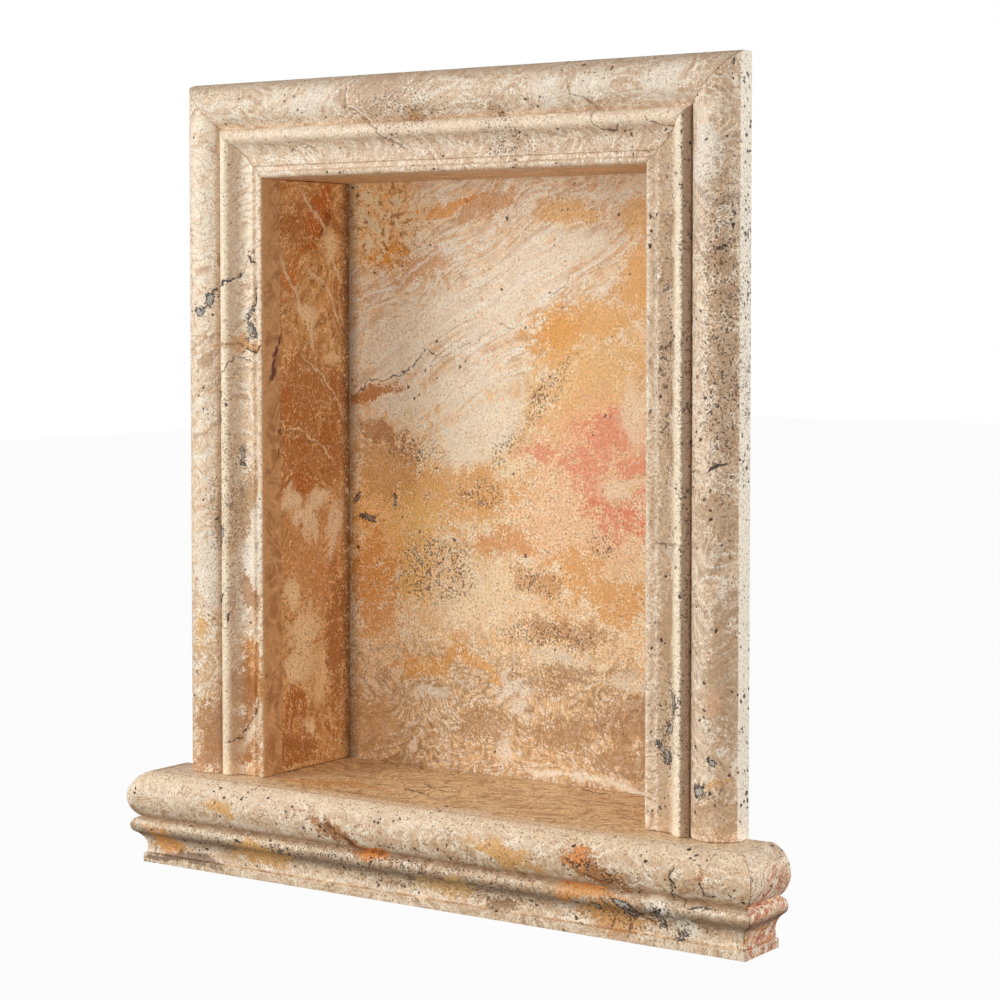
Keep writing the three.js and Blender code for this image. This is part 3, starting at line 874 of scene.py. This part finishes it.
# The sill's returns: short ends of the same rail from another block, mitred to the sill's ends and cut
# square against the wall. The right one shows, in pinker stone with rust and cream streaks.
stone = Travertine("left return travertine", (230, 202, 172), seed=16, facing="side")
stone.streaks((206, 150, 116), (0, 0.7, 0.7), 20, 4, 0.5, 0.6)
stone.clouds((176, 106, 80), 5, 0.55, 0.6, zone=(-20, -464, 60, 16, 0))
stone.specks((140, 96, 70), 1.1, 0.4, 0.5)
stone.pits((80, 56, 42), 4.2, 1.2, 0.35, 26, cut=0.8)
stone.finish()

return_length = -sill_back
return_left = run_stone(
    "sill_return_left_stone", sill_section, return_length, square_end, return_mitre,
    lambda along, across, height: (-sill_back_half - height, -along, sill_high.z - across),
)
weather(return_left, stone)
set_in(return_left, "sill_return_left")

stone = Travertine("right return travertine", (255, 234, 208), seed=17, facing="side")
stone.clouds((224, 190, 158), 10, 0.53, 0.35)
stone.swirls((176, 132, 100), 36, 14, 0.5)
pink_part = (-20, -458, 70, 28, 0)
stone.stain((236, 186, 150), (-20, -462, 70, 28, 0), 0.8, soft=0.2)
rising = (0, 0.75, 0.7)
stone.streaks((202, 110, 82), rising, 20, 3.4, 0.5, 0.9, soft=0.05, zone=pink_part)
stone.streaks((252, 236, 214), rising, 18, 2.6, 0.53, 0.9, 0.04, pink_part, seed=4)
foot_part = (-20, -468, 70, 16, 0)
stone.clouds((184, 94, 74), 4, 0.53, 0.8, soft=0.05, zone=foot_part)
stone.clouds((226, 164, 84), 5, 0.55, 0.8, soft=0.05, zone=foot_part, seed=3)
stone.clouds((248, 234, 216), 4, 0.55, 0.85, soft=0.05, zone=foot_part, seed=6)
# Painted shade under the ogee crest, as on the sill.
stone.band((128, 90, 68), (0, 0, 1), -457.6, 3.4, 0.5)
stone.specks((112, 72, 52), 1.2, 0.5, 0.7)
stone.pits((58, 38, 30), 4.2, 1.4, 0.4, 22, cut=0.8)
stone.finish()

return_right = run_stone(
    "sill_return_right_stone", sill_section, return_length, return_mitre, square_end,
    lambda along, across, height: (sill_back_half + height, sill_back + along, sill_high.z - across),
)
weather(return_right, stone)
set_in(return_right, "sill_return_right")

# The shelf: the slab that is the niche's floor. It is wider in front of the wall, where a horn at each
# side carries a jamb, and its front edge and ends lie in the sill's rebate.
shelf_low, shelf_high = [Vector(corner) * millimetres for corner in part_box("shelf")]
box_low, box_high = [Vector(corner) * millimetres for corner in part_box("back_panel")]

stone = Travertine("shelf travertine", (255, 222, 172), seed=21, facing="top")
stone.streaks((200, 152, 100), (1, 0.25, 0.1), 34, 5, 0.52, 0.7)
stone.streaks((254, 230, 190), (1, 0.25, 0.1), 26, 5, 0.54, 0.6, seed=4)
stone.swirls((166, 116, 70), 60, 16, 0.7, swirl=0.6)
stone.swirls((254, 230, 194), 50, 12, 0.6, seed=3)
stone.stain((226, 158, 84), (-96, -4, 40, 9, 10), 0.6)
stone.stain((246, 222, 192), (-178, -22, 40, 40, 0), 0.9)
stone.stain((244, 216, 182), (188, -22, 40, 40, 0), 0.9)
stone.band((250, 226, 194), (0, 1, 0), -34, 7, 0.8, soft=0.6, rag=3)
stone.stain((252, 236, 212), (18, -30, 22, 8, 20), 0.8)
for line, width, cut in (
    ([(-111, 75), (-100, 68), (-93, 61)], 1.6, 0.5),
    ([(-96, 84), (-86, 75), (-76, 70)], 1.6, 0.5),
    ([(-50, 12), (-38, 4), (-23, -1)], 2.4, 0.7),
    ([(-45, 28), (-32, 20), (-19, 14)], 2.2, 0.6),
    ([(48, 75), (61, 69), (70, 70)], 2.4, 0.7),
):
    stone.crack((84, 54, 34), line, width, cut=cut)
stone.specks((140, 94, 54), 1.6, 0.5, 0.7)
stone.pits((70, 46, 28), 5, 1.6, 0.3, 30, cut=0.8)
stone.finish(0.26, 0.6, roughness=0.45)


slab_spacing = 1.4


def slab_lines(stops):
    """Places of the grid lines between the stops, with one close beside each stop for the rubbed edge."""
    lines = []
    for low, high in zip(stops, stops[1:]):
        steps = max(1, round((high - low) / slab_spacing))
        lines += [low, *np.linspace(low + rubbed_edge, high - rubbed_edge, steps + 1)]
    return lines + [stops[-1]]


def in_order(corners):
    """The corners of a face told from the lowest-numbered one, round by the lower of its neighbours, so
    that the mesh is the same in each run."""
    first = corners.index(min(corners))
    corners = corners[first:] + corners[:first]
    return corners if corners[1] < corners[-1] else corners[:1] + corners[:0:-1]


across_lines = slab_lines([shelf_low.x, box_low.x, box_high.x, shelf_high.x])
depth_lines = slab_lines([shelf_low.y, 0, shelf_high.y])
shelf_mesh = bmesh.new()
spots = {}
for i, x in enumerate(across_lines):
    for j, y in enumerate(depth_lines):
        if y <= 0 or box_low.x <= x <= box_high.x:
            spots[i, j] = shelf_mesh.verts.new((x, y, shelf_high.z))
for i, j in list(spots):
    corners = [(i, j), (i + 1, j), (i + 1, j + 1), (i, j + 1)]
    if all(corner in spots for corner in corners):
        shelf_mesh.faces.new([spots[corner] for corner in corners])
rim = [edge for edge in shelf_mesh.edges if edge.is_boundary]
rim_spots = {spot for edge in rim for spot in edge.verts}
walls = bmesh.ops.extrude_edge_only(shelf_mesh, edges=rim)["geom"]
for spot in rim_spots:
    spot.co.z -= rubbed_edge
foot = [item for item in walls if isinstance(item, bmesh.types.BMVert)]
for spot in foot:
    spot.co.z = shelf_low.z
foot_rim = [item for item in walls if isinstance(item, bmesh.types.BMEdge) and item.is_boundary]
bmesh.ops.contextual_create(shelf_mesh, geom=foot_rim)
shelf_mesh.verts.index_update()
edge_or_foot = rim_spots | set(foot)
shelf_shown = [0.0 if spot in edge_or_foot else 1.0 for spot in shelf_mesh.verts]
shelf_points = np.array([spot.co[:] for spot in shelf_mesh.verts])
shelf_faces = sorted(in_order([spot.index for spot in face.verts]) for face in shelf_mesh.faces)
shelf_mesh.free()
shelf = add_piece("shelf_slab", shelf_points, shelf_faces, shelf_shown)
weather(shelf, stone, unevenness=0.1)
set_in(shelf, "shelf")

# The side slabs line the box left and right. They stand on the shelf and butt against the frame's lip
# in a thin joint. The left one shows its rust and pale veins, the right one is its plainer pair.
side_low, side_high = [Vector(corner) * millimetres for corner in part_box("side_left")]


def slab_section(width, thickness):
    return worn_outline([(0, 0), (0, thickness), (width, thickness), (width, 0)], [], slab_spacing)


def lay_slab(cad_node, stone, section, length, place, spacing=slab_spacing):
    """Runs a slab to its length, wears its faces and puts it in the place of its CAD solid."""
    slab = run_stone(cad_node + "_slab", section, length, square_end, square_end, place, spacing)
    weather(slab, stone, unevenness=0.1)
    set_in(slab, cad_node)


side_section = slab_section(side_high.y - side_low.y, side_high.x - side_low.x)
stone = Travertine("left side travertine", (226, 168, 106), seed=25, facing="side")
stone.clouds((188, 122, 62), 24, 0.5, 0.6)
stone.clouds((236, 190, 134), 14, 0.55, 0.6, soft=0.05, swirl=1.5, seed=3)
stone.swirls((146, 86, 38), 60, 20, 0.65, swirl=0.8)
stone.swirls((248, 212, 162), 52, 15, 0.65, thin=0.2, seed=3)
stone.stains((178, 106, 46), [
    (30, -170, 26, 22, 20), (28, -214, 28, 26, 0), (62, -176, 12, 16, 0), (20, -66, 14, 12, 0),
    (56, -212, 16, 24, 10),
], 0.65)
stone.stain((196, 104, 26), (44, -58, 8, 20, -32), 0.85)
stone.stain((150, 76, 24), (50, -64, 3, 12, -30), 0.8)
stone.stain((208, 120, 40), (17, -98, 9, 14, -20), 0.8)
stone.stain((188, 100, 32), (24, -232, 18, 8, 0), 0.85)
stone.stain((196, 112, 40), (12, -180, 8, 12, 0), 0.7)
for line, width in (
    ([(30, -42), (40, -58), (50, -72), (60, -84), (68, -98)], 3.2),
    ([(8, -84), (18, -103), (27, -114), (34, -128), (40, -142)], 4),
    ([(36, -92), (50, -104), (60, -118), (68, -130)], 2.8),
    ([(30, -150), (44, -160), (58, -172), (70, -190)], 2),
    ([(10, -196), (28, -202), (44, -210), (60, -216)], 1.6),
    ([(11, -262), (24, -284), (36, -298), (43, -290), (52, -268)], 2),
):
    stone.vein((140, 82, 40), [(y + 1.4, z - 1.2) for y, z in line], width, 0.6)
    stone.vein((252, 224, 184), line, width, 0.8)
for colour, ovals in (
    ((214, 156, 102), [(38, -280, 36, 38, 0)]),
    ((250, 228, 196), [(14, -243, 8, 7, -40), (23, -254, 7, 8, 0), (46, -243, 13, 6, 10),
        (38, -256, 9, 14, 0), (60, -262, 6, 18, -10)]),
    ((250, 222, 180), [(57, -78, 7, 8, 0), (35, -124, 7, 9, -20), (16, -306, 7, 11, 0),
        (28, -334, 15, 20, -14), (22, -352, 14, 12, 0), (34, -392, 8, 6, -40)]),
    ((244, 206, 160), [(60, -152, 8, 5, 0), (48, -356, 9, 18, -20)]),
    ((180, 104, 44), [(20, -376, 10, 10, 0)]),
    ((176, 112, 58), [(62, -330, 10, 40, 0), (18, -405, 20, 10, 0)]),
):
    stone.stains(colour, ovals, 0.85, tear=3)
# Painted shade in the back corner, where the slab meets the back panel.
stone.band((92, 54, 28), (0, 1, 0), 77, 6, 0.75, soft=0.9, rag=0.8)
stone.specks((112, 64, 30), 1.3, 0.4, 0.6)
stone.specks((252, 226, 184), 1.2, 0.4, 0.6, seed=4)
stone.pits((64, 40, 24), 5.5, 1.4, 0.3, 30, cut=0.8)
stone.finish(0.2, 0.4)
lay_slab(
    "side_left", stone, side_section, side_high.z - side_low.z,
    lambda along, across, height: (side_low.x + height, side_low.y + across, side_low.z + along),
)

stone = Travertine("right side travertine", (214, 158, 100), seed=27, facing="side")
stone.clouds((180, 118, 62), 24, 0.5, 0.7, swirl=1)
stone.clouds((240, 204, 156), 12, 0.56, 0.6, soft=0.05, swirl=2)
stone.swirls((140, 86, 42), 60, 20, 0.7, swirl=0.8)
stone.specks((120, 72, 36), 1.2, 0.45, 0.6)
stone.pits((70, 44, 26), 5.5, 1.2, 0.25, 30, cut=0.8)
stone.finish(0.2, 0.4)
lay_slab(
    "side_right", stone, side_section, side_high.z - side_low.z,
    lambda along, across, height: (-side_low.x - height, side_low.y + across, side_low.z + along),
)

# The head: a slab laid across the tops of the side slabs. Only its underside shows, from below.
head_low, head_high = [Vector(corner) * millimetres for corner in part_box("head")]
head_section = slab_section(head_high.y - head_low.y, head_high.z - head_low.z)
stone = Travertine("head travertine", (255, 222, 178), seed=31, facing="top")
stone.streaks((190, 138, 92), (1, 0.15, 0.1), 30, 3, 0.53, 0.7)
stone.streaks((110, 74, 46), (1, 0.15, 0.1), 26, 2, 0.6, 0.5, seed=4)
stone.specks((120, 80, 48), 1.2, 0.4, 0.6)
stone.pits((80, 54, 34), 5.5, 1.2, 0.25, 30, cut=0.8)
stone.finish()
lay_slab(
    "head", stone, head_section, head_high.x - head_low.x,
    lambda along, across, height: (head_low.x + along, head_low.y + across, head_high.z - height),
)

# The back panel: one slab over the ends of all the others, and the niche's show face. Pale beds climb
# across its upper half, gold and salmon clouds lie on the right, rust on the left, grey waves below.
back_section = slab_section(box_high.x - box_low.x, box_high.y - box_low.y)
stone = Travertine("back panel travertine", (246, 206, 156), seed=35)
climbing = (1, 0, 0.56)
upper_left = (-40, -90, 150, 92, 28)
stone.stain((254, 226, 192), (-40, -100, 150, 84, 28), 0.85, soft=0.3)
stone.streaks((220, 176, 130), climbing, 50, 6, 0.54, 0.5, zone=upper_left)
stone.streaks((254, 242, 224), climbing, 60, 5, 0.54, 0.75, zone=upper_left, seed=3)
stone.clouds((224, 166, 100), 16, 0.54, 0.55)
stone.clouds((254, 230, 194), 10, 0.55, 0.6, seed=4)
stone.streaks((198, 150, 104), climbing, 70, 2.4, 0.55, 0.5, zone=upper_left, seed=7)
stone.streaks((255, 248, 234), climbing, 80, 2.4, 0.55, 0.7, zone=upper_left, seed=9)
stone.swirls((255, 246, 230), 52, 14, 0.45, thin=0.22, seed=3)
stone.stains((254, 238, 214), [
    (-75, -128, 44, 12, 32), (20, -84, 40, 12, 10), (-35, -196, 34, 20, 20), (-95, -150, 30, 9, 28),
    (-60, -172, 40, 10, 20), (-10, -110, 40, 14, 26), (-108, -136, 34, 14, 26), (-104, -178, 30, 10, 16),
], 0.65)
breccia = (-118, -56, 40, 34, 0)
for colour, ovals in (
    ((240, 186, 112), [(32, -59, 26, 7, 4), (84, -62, 14, 10, 0), (110, -60, 20, 14, 0)]),
    ((255, 202, 130), [(-120, -58, 38, 36, 0)]),
    ((222, 164, 108), [(-84, -92, 22, 7, 24), (-30, -52, 26, 7, 22)]),
    ((240, 158, 52), [(-66, -54, 28, 5, 8), (-110, -84, 18, 8, 6)]),
):
    stone.stains(colour, ovals, 0.75)
stone.clouds((150, 92, 40), 5, 0.56, 0.7, soft=0.03, zone=breccia, seed=7)
stone.clouds((254, 234, 196), 6, 0.52, 0.9, soft=0.03, zone=breccia, seed=9)
pale_line = [(4, -37), (-11, -50), (-20, -66), (-37, -71), (-69, -84), (-101, -100), (-130, -117)]
stone.vein((255, 246, 234), pale_line, 2.2, 0.8, rag=3)
stone.vein((254, 244, 228), [(32, -47), (58, -48), (86, -46)], 2.4, 0.7)
for colour, ovals in (
    ((242, 176, 84), [(42, -126, 40, 12, 14), (84, -100, 16, 24, 0)]),
    ((238, 164, 66), [(22, -140, 18, 14, 20)]),
    ((244, 190, 116), [(46, -170, 46, 30, 40)]),
    ((250, 186, 140), [(50, -205, 44, 30, 25)]),
    ((250, 200, 156), [(40, -250, 54, 40, 0), (84, -206, 9, 5, 0)]),
    ((240, 146, 110), [(62, -196, 22, 13, 20), (42, -216, 16, 11, -20), (13, -210, 11, 6, 10),
        (80, -217, 10, 10, 0), (50, -229, 10, 7, 0), (110, -230, 26, 30, 0)]),
    ((236, 130, 90), [(68, -247, 20, 11, -15)]),
    ((254, 226, 190), [(70, -230, 16, 6, 0), (78, -184, 8, 18, 0)]),
):
    stone.stains(colour, ovals, 0.75, tear=3)
stone.vein((246, 194, 104), [(13, -140), (2, -172), (-2, -197), (-12, -210)], 2.6, 0.6)
for colour, ovals in (
    ((232, 164, 82), [(-58, -238, 50, 16, 4), (-50, -334, 10, 9, -20), (66, -300, 28, 12, -14),
        (36, -282, 18, 12, 0)]),
    ((254, 188, 104), [(-112, -262, 36, 46, 0)]),
    ((222, 144, 62), [(-124, -300, 20, 34, 0), (-20, -270, 24, 10, 12)]),
    ((246, 196, 122), [(-86, -262, 16, 22, 10), (-87, -301, 12, 12, 0)]),
    ((250, 222, 184), [(-37, -305, 34, 20, 16)]),
    ((216, 158, 98), [(9, -291, 16, 7, -20), (-112, -222, 24, 22, 0)]),
    ((188, 128, 74), [(-116, -200, 18, 6, -12), (30, -322, 30, 8, 0)]),
):
    stone.stains(colour, ovals, 0.7, tear=3)
stone.crystals([
    (-105, -245, 3, 5.4, 10), (-127, -256, 5.6, 2.6, -40), (-134, -243, 2.6, 2.6, 0),
], (150, 126, 112))
lower_part = (0, -390, 190, 52, -4)
stone.stain((236, 196, 146), (0, -392, 190, 54, -4), 0.85)
stone.folds((182, 136, 88), (-10, 0), (0, 0, 1), 0.25, 12, 0.52, 0.45, lower_part, 3)
stone.clouds((172, 126, 76), 12, 0.52, 0.6, swirl=2, zone=lower_part, seed=8)
stone.clouds((244, 228, 208), 9, 0.55, 0.8, swirl=2, zone=lower_part, seed=11)
stone.swirls((144, 102, 62), 46, 18, 0.65, swirl=1, zone=lower_part, seed=6)
for colour, ovals in (
    ((234, 162, 70), [(-43, -347, 18, 4, -20), (-28, -354, 16, 3, -16), (-84, -352, 22, 5, 6)]),
    ((244, 230, 212), [(-79, -369, 12, 5, 0), (-8, -361, 10, 6, 0), (-6, -374, 7, 6, 0),
        (-17, -400, 6, 11, 0)]),
    ((240, 222, 196), [(80, -351, 14, 6, 0), (28, -340, 22, 5, 0)]),
    ((176, 130, 82), [(28, -386, 24, 10, 10), (-34, -386, 16, 10, 10), (66, -372, 14, 7, 10),
        (30, -350, 26, 6, 10), (70, -400, 20, 9, 10), (104, -388, 30, 16, 10), (88, -372, 40, 12, 10)]),
    ((204, 154, 100), [(-124, -396, 22, 20, 0)]),
):
    stone.stains(colour, ovals, 0.65, tear=3)
stone.vein((254, 242, 224), [(6, -412), (30, -413), (60, -415), (96, -416)], 5, 0.8)
zigzag = [(-138, -175), (-124, -167), (-112, -165), (-99, -161), (-88, -155), (-78, -146), (-68, -151)]
stone.stain((200, 122, 46), (-122, -174, 20, 4.4, 8), 0.85)
stone.crack((74, 48, 30), zigzag[2:], 1.3, strength=0.85)
stone.vein((120, 80, 48), zigzag[:3], 1.3, 0.8)
stone.vein((166, 120, 78), [(-68, -151), (-56, -146), (-39, -137), (-25, -130), (-6, -128)], 0.9, 0.55)
stone.vein((150, 104, 66), [(32, -92), (28, -102), (20, -109)], 0.9, 0.6)
# Painted shade in the left corner, where the panel meets the left side slab.
stone.band((110, 66, 34), (1, 0, 0), -143, 6.5, 0.65, soft=0.9, rag=0.8)
stone.specks((150, 96, 50), 1.3, 0.25, 0.45)
speckled_part = (0, -290, 170, 110, 10)
stone.specks((124, 80, 42), 1.3, 0.3, 0.5, 0.9, zone=speckled_part, seed=3)
stone.specks((255, 236, 204), 1.5, 0.5, 0.55, zone=speckled_part, seed=6)
stone.specks((96, 58, 30), 1.5, 0.75, 0.75, seed=9, zone=[
    (14, -172, 28, 7, 50), (-16, -208, 16, 7, 35), (-36, -238, 18, 9, 0), (9, -291, 18, 8, -20),
    (55, -265, 10, 8, 0), (-90, -212, 24, 8, 0), (-70, -290, 30, 22, 0), (20, -325, 40, 8, 0),
])
stone.pits((78, 50, 30), 4.6, 1.3, 0.3, 30, cut=0.6)
stone.finish(0.2, 0.4)
lay_slab(
    "back_panel", stone, back_section, box_high.z - box_low.z,
    lambda along, across, height: (box_low.x + across, box_high.y - height, box_low.z + along),
    spacing=1.2,
)
